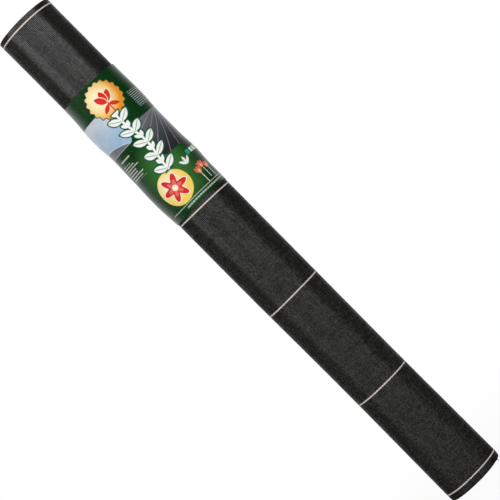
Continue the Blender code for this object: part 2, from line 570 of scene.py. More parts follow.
@dataclass(frozen=True)
class StickyTapeFinish:
    """Thin glossy tape that shows what is under it."""

    name: str
    colour: Colour
    alpha: float
    roughness: float = 0.16
    bubble_colour: Colour = rgb(0.8, 0.78, 0.72)
    ripples_per_metre: float = 45.0
    ripple_depth: float = 0.00015
    bubbles_per_metre: float = 150.0
    bubbles_from: float = 0.66

    def make(self) -> bpy.types.Material:
        """Returns the tape's material."""
        nodes = SheetNodes(self.name)
        ripples = nodes.noise(nodes.along * 3.0, nodes.across, self.ripples_per_metre, 1.0)
        bubbles = (nodes.grain(self.bubbles_per_metre, 1.0) - self.bubbles_from).most(0.0) * 5.0
        return nodes.dress(
            {
                "Base Color": nodes.mix(bubbles.clamp(), self.colour, self.bubble_colour),
                "Roughness": self.roughness + ripples * 0.10,
                "Alpha": (self.alpha + bubbles * 0.2 + (ripples - 0.5) * 0.12).clamp(),
                "Normal": nodes.bump(ripples, self.ripple_depth),
            }
        )


class PrintCanvas:
    """Draws flat shapes on the sleeve's film, in millimetres from the front's middle and its lower edge."""

    soft: float = 0.5

    def __init__(self, nodes: SheetNodes, ground: Ink) -> None:
        """Starts the print.

        Args:
            nodes: the film's nodes.
            ground: the colour under all shapes.
        """
        self.nodes = nodes
        self.x = nodes.along * MM_PER_METRE
        self.y = nodes.across * MM_PER_METRE
        self.ink = ground

    def disc(self, x: float, y: float, radius: float = 0.0) -> Value:
        """Returns the distance to a round disc, or to a point."""
        return (self.x - x).reach(self.y - y) - radius

    def panel(self, x: float, y: float, wide: float, high: float, corner: float = 0.0) -> Value:
        """Returns the distance to a box with round corners, from its middle and whole sides."""
        across = (abs(self.x - x) - (wide / 2 - corner)).most(0.0)
        up = (abs(self.y - y) - (high / 2 - corner)).most(0.0)
        return across.reach(up) - corner

    def petals(self, x: float, y: float, count: int, radius: float, depth: float) -> Value:
        """Returns about the distance to a round flower with so many petals."""
        across, up = self.x - x, self.y - y
        angle = self.nodes.math("ARCTAN2", up, across)
        return across.reach(up) - ((angle * float(count)).cos() * depth + radius)

    def leaf(self, across: Value, up: Value, angle: float, length: float, width: float) -> Value:
        """Returns the distance to a pointed leaf that grows from where across and up are zero.

        Args:
            across: the place across, from the leaf's root.
            up: the place up, from the leaf's root.
            angle: the way that it points, in degrees from straight across.
            length: from root to tip.
            width: the widest part.

        Returns:
            The distance.
        """
        turn = math.radians(angle)
        lengthwise = across * math.cos(turn) + up * math.sin(turn) - length / 2
        sideways = abs(up * math.cos(turn) - across * math.sin(turn))
        radius = (length * length + width * width) / (4 * width)
        return lengthwise.reach(sideways + (radius - width / 2)) - radius

    def bars(self, step: float, thickness: float, first: float = 0.0) -> Value:
        """Returns the distance to level bars, one to each step up."""
        return abs((self.y - first) % step - step / 2) - thickness / 2

    def ragged(self, step: float, depth: float, seed: float) -> Value:
        """Returns a random length for each step up."""
        return self.nodes.random_of((self.y / step + seed).floor()) * depth

    def paint(self, distance: Value, colour: Ink, softness: float = soft) -> None:
        """Lays a colour over what is there.

        Args:
            distance: to the shape, negative inside it.
            colour: a colour or a link.
            softness: how soft the shape's edge is.
        """
        self.ink = self.nodes.mix(distance.cover(softness), self.ink, colour)

    def spray(
        self, x: float, y: float, angles: Sequence[float], size: tuple[float, float], colour: Colour
    ) -> None:
        """Paints leaves that grow from one point.

        Args:
            x: the point's place across.
            y: the point's height.
            angles: the way that each leaf points, in degrees from straight across.
            size: the length and the width of each leaf.
            colour: their colour.
        """
        for angle in angles:
            self.paint(self.leaf(self.x - x, self.y - y, angle, *size), colour)


@dataclass(frozen=True)
class PrintedFilmFinish:
    """Glossy film printed deep green, with a vine, two pictures of beds under the sky, and flowers."""

    deep_green: Colour = rgb(0.0024, 0.0370, 0.0060)
    mid_green: Colour = rgb(0.045, 0.170, 0.035)
    outline: Colour = rgb(0.004, 0.095, 0.040)
    white: Colour = rgb(0.90, 0.93, 0.88)
    pale_sky: Colour = rgb(0.62, 0.67, 0.72)
    blue_sky: Colour = rgb(0.29, 0.48, 0.68)
    soil: Colour = rgb(0.022, 0.021, 0.025)
    soil_grey: Colour = rgb(0.16, 0.17, 0.19)
    furrow: Colour = rgb(0.36, 0.38, 0.40)
    yellow: Colour = rgb(0.95, 0.66, 0.13)
    orange: Colour = rgb(0.85, 0.30, 0.02)
    cream: Colour = rgb(0.98, 0.90, 0.60)
    red: Colour = rgb(0.72, 0.03, 0.02)
    rose: Colour = rgb(0.80, 0.16, 0.14)
    teal: Colour = rgb(0.02, 0.38, 0.24)
    gloss: float = 0.75
    handling_per_metre: float = 38.0
    peel_per_metre: float = 160.0
    ripple_depth: float = 0.0006
    leaf_step_mm: float = 25.0
    row_angle: float = math.pi / 14.0

    def make(self) -> bpy.types.Material:
        """Returns the film's material."""
        nodes = SheetNodes("printed_sleeve_film")
        aside = nodes.along * MM_PER_METRE / 46.0
        above = (nodes.across * MM_PER_METRE - 62.0) / 62.0
        lower_middle = 1.0 - (aside ** 2.0 + above ** 2.0) * 0.8
        canvas = PrintCanvas(nodes, nodes.mix(lower_middle.clamp(), self.deep_green, self.mid_green))
        self.paint_sky(canvas)
        self.paint_beds(canvas)
        self.paint_badge(canvas)
        self.paint_disc(canvas)
        self.paint_vine(canvas)
        self.paint_rows_of_bars(canvas)
        self.paint_small_marks(canvas)
        handling = nodes.grain(self.handling_per_metre, 3.0, 0.55)
        peel = nodes.grain(self.peel_per_metre, 1.0)
        return nodes.dress(
            {
                "Base Color": canvas.ink,
                "Roughness": 0.10 + handling * 0.12,
                "Specular IOR Level": self.gloss,
                "Normal": nodes.bump(handling * 0.8 + peel * 0.06, self.ripple_depth),
            }
        )

    def paint_sky(self, canvas: PrintCanvas) -> None:
        """Paints the pale sky over a low round hill, on the left of the front."""
        nodes = canvas.nodes
        shape = canvas.panel(x=-46.0, y=172.0, wide=78.0, high=66.0, corner=7.0)
        clouds = nodes.noise(canvas.x * 0.6, canvas.y, 0.05, 3.0, 0.6)
        up = (canvas.y - 139.0) / 66.0
        sky = nodes.mix((up * 0.9 + (clouds - 0.5) * 1.3).clamp(), self.blue_sky, self.pale_sky)
        canvas.paint(shape, sky)
        hill = canvas.disc(x=-60.0, y=60.0, radius=92.0).most(shape)
        canvas.paint(hill, self.soil_grey)
        canvas.paint((abs(hill) - 0.5).most(shape), self.pale_sky)

    def paint_beds(self, canvas: PrintCanvas) -> None:
        """Paints the dark bed with pale furrows that spread from one point, on the right of the front."""
        nodes = canvas.nodes
        shape = canvas.panel(x=46.0, y=122.0, wide=74.0, high=70.0, corner=7.0)
        up = ((canvas.y - 87.0) / 70.0).clamp()
        canvas.paint(shape, nodes.mix(up ** 1.6, self.soil, self.soil_grey))
        across, down = canvas.x - 70.0, 163.0 - canvas.y
        angle = nodes.math("ARCTAN2", across, down)
        row = ((angle * (1.0 / self.row_angle)) % 1.0 - 0.5) * across.reach(down) * self.row_angle
        canvas.paint((abs(row) - 0.35).most(shape), self.furrow, 0.7)

    def paint_badge(self, canvas: PrintCanvas) -> None:
        """Paints the warm sun badge with its tulip, near the upper edge."""
        nodes = canvas.nodes
        x, y = 5.0, 214.5
        canvas.paint(canvas.petals(x, y, count=18, radius=31.4, depth=1.5), self.outline)
        middle = canvas.disc(x - 7.0, y + 5.5) / 34.0
        rim = nodes.mix(middle ** 2.0, self.yellow, self.orange)
        sun = nodes.mix(middle.ramp(0.25, 1.5), self.cream, rim)
        canvas.paint(canvas.petals(x, y, count=18, radius=29.8, depth=1.5), sun)
        root = y - 6.5
        for angle in (52.0, 90.0, 128.0):
            petal = canvas.leaf(canvas.x - x, canvas.y - root, angle, length=22.0, width=10.5)
            canvas.paint(petal - 1.0, self.cream)
            canvas.paint(petal, self.red)
        canvas.spray(x, root - 2.0, (214.0, 326.0), (18.0, 7.0), self.red)
        canvas.paint(canvas.panel(x, root - 9.0, wide=2.0, high=18.0, corner=0.9), self.red)

    def paint_disc(self, canvas: PrintCanvas) -> None:
        """Paints the round yellow disc with a red flower, low on the left of the middle."""
        x, y = -14.0, 42.0
        glow = canvas.disc(x - 4.0, y + 7.0) / 32.0
        ground = canvas.nodes.mix(glow.ramp(0.2, 1.4), self.cream, self.yellow)
        canvas.paint(canvas.disc(x, y, radius=29.0), ground)
        for radius, depth, colour in ((18.6, 6.2, self.white), (17.0, 6.0, self.red), (10.2, 3.6, self.rose)):
            canvas.paint(canvas.petals(x, y, 6, radius, depth), colour)
        canvas.paint(canvas.disc(x, y, radius=4.8), self.cream)

    def paint_vine(self, canvas: PrintCanvas) -> None:
        """Paints the white vine with pairs of leaves, up the middle of the front."""
        sway = (canvas.y * (FULL_TURN / 100.0)).sin() * 3.0
        across = abs(canvas.x - 3.0 - sway)
        along = (canvas.y - 70.0) % self.leaf_step_mm
        stem_ends = abs(canvas.y - 129.0) - 60.0
        leaves = canvas.leaf(across, along - 1.5, angle=32.0, length=23.0, width=11.0)
        buds = canvas.leaf(across, along - 13.0, angle=54.0, length=12.0, width=6.0)
        vine = leaves.least(buds).least(across - 1.9).most(stem_ends)
        canvas.paint(vine - 1.9, self.outline, 0.9)
        canvas.paint(vine, self.white)
        rib = abs(canvas.leaf(across, along - 1.5, angle=32.0, length=21.0, width=0.7)) - 0.25
        canvas.paint(rib.most(stem_ends), self.mid_green, 0.7)

    def paint_rows_of_bars(self, canvas: PrintCanvas) -> None:
        """Paints rows of plain bars with ragged ends: two on the front and one on the panel at the back."""
        block = canvas.panel(x=-46.0, y=104.5, wide=38.0, high=30.0)
        ends = canvas.x + 28.0 + canvas.ragged(4.4, 13.0, seed=-91.0 / 4.4)
        canvas.paint(canvas.bars(4.4, 1.5, first=91.0).most(block).most(ends), self.white, 0.6)
        canvas.paint(canvas.panel(x=-44.0, y=127.5, wide=26.0, high=2.2), self.white)
        block = canvas.panel(x=58.0, y=184.8, wide=36.0, high=29.7)
        ends = canvas.x - 75.0 + canvas.ragged(3.3, 12.0, seed=80.0)
        canvas.paint(canvas.bars(3.3, 1.0).most(block).most(ends), self.pale_sky, 0.6)
        canvas.paint(canvas.panel(x=118.0, y=132.0, wide=54.0, high=150.0, corner=4.0), self.white)
        block = canvas.panel(x=118.0, y=132.0, wide=44.0, high=138.0)
        ends = canvas.x - 140.0 + canvas.ragged(6.0, 16.0, seed=300.0)
        canvas.paint(canvas.bars(6.0, 1.6).most(block).most(ends), self.mid_green, 0.6)

    def paint_small_marks(self, canvas: PrintCanvas) -> None:
        """Paints the small squares, a sprig, three tulips and the lines along the lower edge."""
        canvas.paint(canvas.panel(x=44.0, y=69.0, wide=8.0, high=8.0, corner=1.0), self.teal)
        for x in (53.5, 62.0, 70.5):
            canvas.paint(canvas.panel(x, y=69.0, wide=6.0, high=8.0, corner=1.0), self.white)
        canvas.spray(28.0, 55.0, (48.0, 90.0, 132.0), (15.0, 4.6), self.white)
        for x, height in ((34.0, 31.0), (45.0, 36.0), (56.0, 30.0)):
            canvas.paint(canvas.panel(x, height - 10.0, wide=1.3, high=20.0, corner=0.6), self.white)
            canvas.spray(x, height, (62.0, 90.0, 118.0), (13.0, 6.4), self.rose)
            canvas.spray(x, height, (90.0,), (8.0, 4.2), self.yellow)
        canvas.paint(canvas.panel(x=20.0, y=11.5, wide=150.0, high=0.9), self.white)
        ticks = abs(canvas.x % 5.2 - 2.6) - 2.0
        canvas.paint(ticks.most(canvas.panel(x=26.0, y=6.6, wide=96.0, high=2.4)), self.white, 0.6)


@dataclass(frozen=True)
class FilmInsideFinish:
    """The unprinted side of the film."""

    colour: Colour = rgb(0.40, 0.46, 0.41)
    hazy: Colour = rgb(0.30, 0.37, 0.32)
    haze_per_metre: float = 60.0

    def make(self) -> bpy.types.Material:
        """Returns the inside's material."""
        nodes = SheetNodes("film_inside")
        haze = nodes.grain(self.haze_per_metre)
        return nodes.dress(
            {"Base Color": nodes.mix(haze, self.colour, self.hazy), "Roughness": 0.25 + haze * 0.1}
        )


def eased(share: np.ndarray) -> np.ndarray:
    """Returns a smooth step from 0 to 1 as the share goes from 0 to 1."""
    held = np.clip(share, 0.0, 1.0)
    return held * held * (3 - 2 * held)


def on_circle(radius: np.ndarray, azimuth: np.ndarray, height: np.ndarray) -> np.ndarray:
    """Returns points at these radii, angles round the axis and heights."""
    radius, azimuth, height = np.broadcast_arrays(radius, azimuth, height)
    return np.stack([radius * np.cos(azimuth), radius * np.sin(azimuth), height], -1)


def angle_between(azimuth: np.ndarray, middle: float) -> np.ndarray:
    """Returns how far round the axis each angle is from the middle one, at most half a turn."""
    return np.angle(np.exp(1j * (azimuth - middle)))


def hand_over(
    piece: bpy.types.Object, body: Body, stands_for: Sequence[str] = ()
) -> None:
    """Puts a finished piece on its body and reports it.

    Args:
        piece: the piece.
        body: the body that it rides on.
        stands_for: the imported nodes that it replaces.
    """
    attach(piece, body.value)
    if stands_for:
        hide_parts(*stands_for)
    log.info("%s: %d faces, rides on %s", piece.name, len(piece.data.polygons), body.value)


@dataclass
class Shell:
    """A mesh of four-sided faces, each corner of which knows its place in metres on its sheet."""

    points: np.ndarray
    faces: np.ndarray
    places: np.ndarray
    sharp_degrees: float | None = None

    def build(self, name: str, finishes: Sequence[bpy.types.Material]) -> bpy.types.Object:
        """Makes the piece.

        Args:
            name: its name.
            finishes: its materials.

        Returns:
            The piece, linked to the scene.
        """
        mesh = bpy.data.meshes.new(name)
        mesh.from_pydata(self.points.reshape(-1, 3).tolist(), [], self.faces.tolist())
        self.lay(mesh, METRES_MAP, self.places)
        for finish in finishes:
            mesh.materials.append(finish)
        if self.sharp_degrees is not None:
            mesh.polygons.foreach_set("use_smooth", np.ones(len(self.faces), bool))
            mesh.set_sharp_from_angle(angle=math.radians(self.sharp_degrees))
        mesh.validate()
        piece = bpy.data.objects.new(name, mesh)
        bpy.context.scene.collection.objects.link(piece)
        return piece

    @staticmethod
    def lay(mesh: bpy.types.Mesh, name: str, places: np.ndarray) -> None:
        """Adds a map with the place of each corner of each face."""
        mesh.uv_layers.new(name=name).uv.foreach_set("vector", places.reshape(-1).astype(np.float32))

    @staticmethod
    def quads(*corners: np.ndarray) -> np.ndarray:
        """Returns faces from the arrays of their four corners."""
        return np.stack([corner.reshape(-1) for corner in corners], -1)


@dataclass
class Sheet:
    """A thin sheet as two grids of points, columns along it and rows across it.

    Columns go round the axis anticlockwise, seen from above, and rows go up, so that faces look out.
    """

    outer: np.ndarray
    inner: np.ndarray
    along: np.ndarray
    across: np.ndarray
    folds: int = 1
    rim_share: float = 0.05
    fold_margin: float = 0.01
    row_margin: float = 0.002
    strip_range: tuple[float, float] = (0.15, 0.75)
    sharp_degrees: float = 40

    @classmethod
    def wrapped(
        cls,
        radius: np.ndarray,
        thickness: np.ndarray | float,
        azimuth: np.ndarray,
        height: np.ndarray,
        along: np.ndarray,
        across: np.ndarray,
    ) -> "Sheet":
        """Makes a sheet that lies round the axis.

        Args:
            radius: the radius of its inner face.
            thickness: how far out from there its outer face is.
            azimuth: the angle round the axis.
            height: the height.
            along: the place of each column along the sheet.
            across: the place of each row across it, or of each point.

        Returns:
            The sheet.
        """
        outer = on_circle(radius + thickness, azimuth, height)
        inner = on_circle(radius, azimuth, height)
        return cls(outer, inner, along, np.broadcast_to(across, outer.shape[:2]))

    def build(self, name: str, finishes: Sequence[bpy.types.Material]) -> bpy.types.Object:
        """Makes the closed mesh, with its places in metres and its bake map.

        Args:
            name: the piece's name.
            finishes: the outer face's material, then the inner face's and the rims' where they differ.

        Returns:
            The object, linked to the scene.
        """
        columns, rows = self.outer.shape[:2]
        near = np.arange(columns * rows).reshape(columns, rows)
        far = near + columns * rows
        sides = {
            SheetPart.OUTER: (near[:-1, :-1], near[1:, :-1], near[1:, 1:], near[:-1, 1:]),
            SheetPart.INNER: (far[:-1, :-1], far[:-1, 1:], far[1:, 1:], far[1:, :-1]),
            SheetPart.LOWER_RIM: (near[:-1, 0], far[:-1, 0], far[1:, 0], near[1:, 0]),
            SheetPart.UPPER_RIM: (near[:-1, -1], near[1:, -1], far[1:, -1], far[:-1, -1]),
            SheetPart.FIRST_RIM: (near[0, :-1], near[0, 1:], far[0, 1:], far[0, :-1]),
            SheetPart.LAST_RIM: (near[-1, :-1], far[-1, :-1], far[-1, 1:], near[-1, 1:]),
        }
        groups = [Shell.quads(*corners) for corners in sides.values()]
        faces = np.concatenate(groups)
        part = np.repeat(list(sides), [len(group) for group in groups])
        column, row = np.divmod(faces % (columns * rows), rows)
        places = np.stack([self.along[column], self.across[column, row]], -1)
        points = np.concatenate([self.outer.reshape(-1, 3), self.inner.reshape(-1, 3)])
        piece = Shell(points, faces, places, self.sharp_degrees).build(name, finishes)
        Shell.lay(piece.data, BAKE_MAP, self.bake_places(part, column, row))
        worn = np.minimum(np.minimum(part, SheetPart.LOWER_RIM), len(finishes) - 1)
        piece.data.polygons.foreach_set("material_index", worn.astype(np.int32))
        return piece

    def bake_places(self, part: np.ndarray, column: np.ndarray, row: np.ndarray) -> np.ndarray:
        """Lays the outer face over most of the bake's square, in strips beside each other.

        Args:
            part: which side of the sheet each face is on.
            column: the column of each corner of each face.
            row: the row of each corner of each face.

        Returns:
            The place of each corner on the square.
        """
        last_row = self.outer.shape[1] - 1
        lengthwise = ((self.along - self.along[0]) / (self.along[-1] - self.along[0]))[column]
        sideways = row / last_row
        fold = np.minimum(row.min(1) * self.folds // last_row, self.folds - 1)[:, None]
        right = fold + self.fold_margin + (1 - 2 * self.fold_margin) * lengthwise
        up = self.row_margin + (1 - 2 * self.row_margin) * (sideways * self.folds - fold)
        outer = np.stack([right / self.folds, self.rim_share + (1 - self.rim_share) * up], -1)
        side = part[:, None]
        first, last = self.strip_range
        over = np.where(side == SheetPart.INNER, sideways, column % 2)
        level = (side + first + (last - first) * over) * self.rim_share / len(SheetPart)
        rims = np.stack([np.where(side < SheetPart.FIRST_RIM, lengthwise, sideways), level], -1)
        return np.where(side[..., None] == SheetPart.OUTER, outer, rims)


@dataclass(frozen=True)
class SineWave:
    """One sine wave, with its shift in radians."""

    rate: float
    shift: float
    size: float

    def at(self, place: np.ndarray, shifts: float = 1.0) -> np.ndarray:
        """Returns how high the wave is at a place, when it is shifted so many times."""
        return self.size * np.sin(place * self.rate + self.shift * shifts)


@dataclass
class Waves:
    """Gentle unevenness over a sheet: a few sine waves with seeded ways and phases."""

    seed: int
    count: int
    height: float
    shortest: float
    longest: float

    def at(self, along: np.ndarray, across: np.ndarray) -> np.ndarray:
        """Returns the unevenness at places in metres along and across the sheet."""
        chance = np.random.default_rng(self.seed)
        total = np.zeros(np.broadcast(along, across).shape)
        for _ in range(self.count):
            length = chance.uniform(self.shortest, self.longest)
            way, phase = chance.uniform(0, math.pi), chance.uniform(0, FULL_TURN)
            total += np.sin((along * math.cos(way) + across * math.sin(way)) * FULL_TURN / length + phase)
        return total * self.height / math.sqrt(self.count)


@dataclass
class Winding:
    """The spiral that the sheet lies in. Turns are counted back from its free edge."""

    sheet_length: float = 10.0
    sheet_thickness: float = 0.00042
    mean_radius: float = 0.05115
    inner_radius: float = 0.01955
    upper_swell: float = 0.0003
    swell_height: float = 0.80
    swell_reach: float = 0.16
    waist_depth: float = 0.0011
    waist_height: float = 0.24
    waist_spread: float = 0.15
    bow_depth: float = 0.0005
    bow_height: float = 0.48
    bow_spread: float = 0.15
    edge_tuck: float = 0.0005
    tuck_reach: float = 0.005
    upper_flare: float = 0.0003
    flare_reach: float = 0.026
    unevenness: Waves = field(
        default_factory=lambda: Waves(seed=11, count=14, height=0.00004, shortest=0.016, longest=0.07)
    )

    @property
    def pitch(self) -> float:
        """Returns the distance between turns that winds up the whole length."""
        return math.pi * (self.mean_radius**2 - self.inner_radius**2) / self.sheet_length

    @property
    def turns(self) -> float:
        """Returns how many turns the sheet makes."""
        return (self.mean_radius - self.inner_radius) / self.pitch

    @property
    def girth(self) -> float:
        """Returns the length of the outer turn."""
        return FULL_TURN * self.mean_radius

    def azimuth(self, turns_back: np.ndarray) -> np.ndarray:
        """Returns the angle round the axis at so many turns back from the free edge."""
        return FREE_EDGE_AZIMUTH - FULL_TURN * turns_back

    def plain_radius(self, turns_back: np.ndarray) -> np.ndarray:
        """Returns the sheet's outer radius before any unevenness."""
        return self.mean_radius + (0.5 - turns_back) * self.pitch

    def radius(self, turns_back: np.ndarray, height: np.ndarray) -> np.ndarray:
        """Returns the sheet's outer radius, with its swell, waist, bow to -X, edges and unevenness.

        Args:
            turns_back: the turns back from the free edge.
            height: the height.

        Returns:
            The radius. The inner turns take less of all this than the outer ones.
        """
        angle = self.azimuth(turns_back)
        bow = self.bow_depth * self.hump(height, self.bow_height, self.bow_spread) * np.cos(angle)
        waist = self.waist_depth * self.hump(height, self.waist_height, self.waist_spread)
        swell = self.upper_swell * eased((height - self.swell_height) / self.swell_reach)
        flare = self.upper_flare * eased(1 - (SHEET_WIDTH - height) / self.flare_reach)
        tuck = self.edge_tuck * (1 - eased(height / self.tuck_reach))
        uneven = self.unevenness.at(angle * self.mean_radius, height)
        plain = self.plain_radius(turns_back)
        outwards = (plain / self.mean_radius) ** 3
        return plain + (swell - bow - waist + flare - tuck + uneven) * outwards

    @staticmethod
    def hump(height: np.ndarray, middle: float, spread: float) -> np.ndarray:
        """Returns a smooth hump, 1 high at its middle."""
        return np.exp(-(((height - middle) / spread) ** 2))

    def back_at(self, azimuth: np.ndarray) -> np.ndarray:
        """Returns how many turns back the outer turn is at an angle, from 0 to 1."""
        return ((FREE_EDGE_AZIMUTH - azimuth) / FULL_TURN) % 1.0

    def bridge(self, azimuth: np.ndarray, length: float) -> np.ndarray:
        """Returns how far a skin stands off the roll just past the free edge, which it spans.

        Args:
            azimuth: the angle round the axis.
            length: how far past the edge the skin comes down again.

        Returns:
            The extra radius, one pitch at the edge.
        """
        past = (1.0 - self.back_at(azimuth)) * self.girth
        return self.pitch * (1 - eased(past / length))


@dataclass
class CoreAssembly:
    """The cardboard tube and the tape that holds the sheet's first edge to it."""

    winding: Winding
    outer_radius: float = 0.019
    wall: float = 0.0025
    length: float = 1.0
    end_inset: float = 0.0004
    ply_count: int = 5
    ply_relief: float = 0.00035
    ply_shoulders: tuple[float, ...] = (0.08, 0.3, 0.7, 0.92)
    wall_heights: tuple[float, float] = (0.30, 0.65)
    sides: int = 144
    wobble: float = 0.00006
    wobbles_round: int = 7
    wobble_from: float = 0.9
    rim_stretch: float = 0.4
    sharp_degrees: float = 50
    tape_length: float = 0.040
    tape_width: float = 0.048
    tape_thickness: float = 0.00007
    tape_clearance: float = 0.00002
    tape_azimuth: float = math.radians(150)
    tape_columns: int = 25
    tape_rows: int = 9

    def build(self) -> None:
        """Makes, dresses and hands over the tube and the tape."""
        hand_over(self.build_tube(), Body.ROLL, ["core_tube"])
        hand_over(self.build_tape(), Body.ROLL, ["start_tape"])

    def profile(self) -> np.ndarray:
        """Returns the tube's cross-section as radius and height, with the plies standing at its ends."""
        inner = self.outer_radius - self.wall
        ply = self.wall / self.ply_count
        top = self.length - self.end_inset
        edge_top = top - self.ply_relief
        upper = [
            (inner + (number + share) * ply, height)
            for number in range(self.ply_count)
            for share, height in zip(self.ply_shoulders, (edge_top, top, top, edge_top))
        ]
        lower = [(radius, self.length - height) for radius, height in reversed(upper)]
        low, high = self.wall_heights
        return np.array(
            [(inner, low), (inner, high), *upper, (self.outer_radius, high), (self.outer_radius, low), *lower]
        )

    def build_tube(self) -> bpy.types.Object:
        """Turns the cross-section round the axis and returns the tube."""
        ring = self.profile()
        count = len(ring)
        step = FULL_TURN / self.sides
        angles = np.arange(self.sides)[:, None] * step
        radius, height = ring[None, :, 0], ring[None, :, 1]
        wobble = self.wobble * np.sin(self.wobbles_round * angles) * (height > self.wobble_from)
        here = np.arange(self.sides * count).reshape(self.sides, count)
        turned = np.roll(here, -1, 0)
        faces = Shell.quads(here, np.roll(here, -1, 1), np.roll(turned, -1, 1), turned)
        side = np.repeat(np.arange(self.sides), count)
        around = np.stack([side, side, side + 1, side + 1], -1) * step * self.outer_radius
        rim_fold = (ring[faces % count, 0] - self.outer_radius) * self.rim_stretch
        places = np.stack([around, ring[faces % count, 1] + rim_fold], -1)
        points = on_circle(radius, angles, height - wobble)
        shell = Shell(points, faces, places, self.sharp_degrees)
        return shell.build("cardboard_tube", [CardboardFinish().make()])

    def build_tape(self) -> bpy.types.Object:
        """Makes the tape, between the tube and the first turn, and returns it."""
        round_tube = np.linspace(-0.5, 0.5, self.tape_columns) * self.tape_length
        azimuth = round_tube / self.outer_radius + self.tape_azimuth
        height = np.linspace(-0.5, 0.5, self.tape_rows) * self.tape_width + self.length / 2
        radius = self.outer_radius + self.tape_clearance
        along = azimuth * self.outer_radius
        sheet = Sheet.wrapped(radius, self.tape_thickness, azimuth[:, None], height[None, :], along, height)
        finish = StickyTapeFinish("brown_tape", rgb(0.40, 0.30, 0.17), alpha=0.75).make()
        return sheet.build("start_tape_strip", [finish])


@dataclass
class Fray:
    """One loose end of tape yarn, as a bent ribbon."""

    path: np.ndarray
    side: np.ndarray
    width: float
    thickness: float = 0.00009
    taper: float = 0.75

    def grid(self) -> tuple[np.ndarray, np.ndarray]:
        """Returns its points and faces, closed, narrowing towards the tip."""
        count = len(self.path)
        share = np.linspace(0, 1, count)[:, None]
        half = self.side * (self.width / 2) * (1 - self.taper * share**1.5)
        run = np.gradient(self.path, axis=0)
        normal = np.cross(run, self.side)
        normal /= np.linalg.norm(normal, axis=1)[:, None]
        lift = normal * self.thickness / 2
        upper, lower = self.path + lift, self.path - lift
        rings = np.stack([upper + half, upper - half, lower - half, lower + half], 1)
        here = np.arange(count * 4).reshape(count, 4)
        after = np.roll(here, -1, 1)
        around = Shell.quads(here[:-1], after[:-1], after[1:], here[1:])
        return rings.reshape(-1, 3), np.concatenate([around, here[:1, ::-1], here[-1:]])


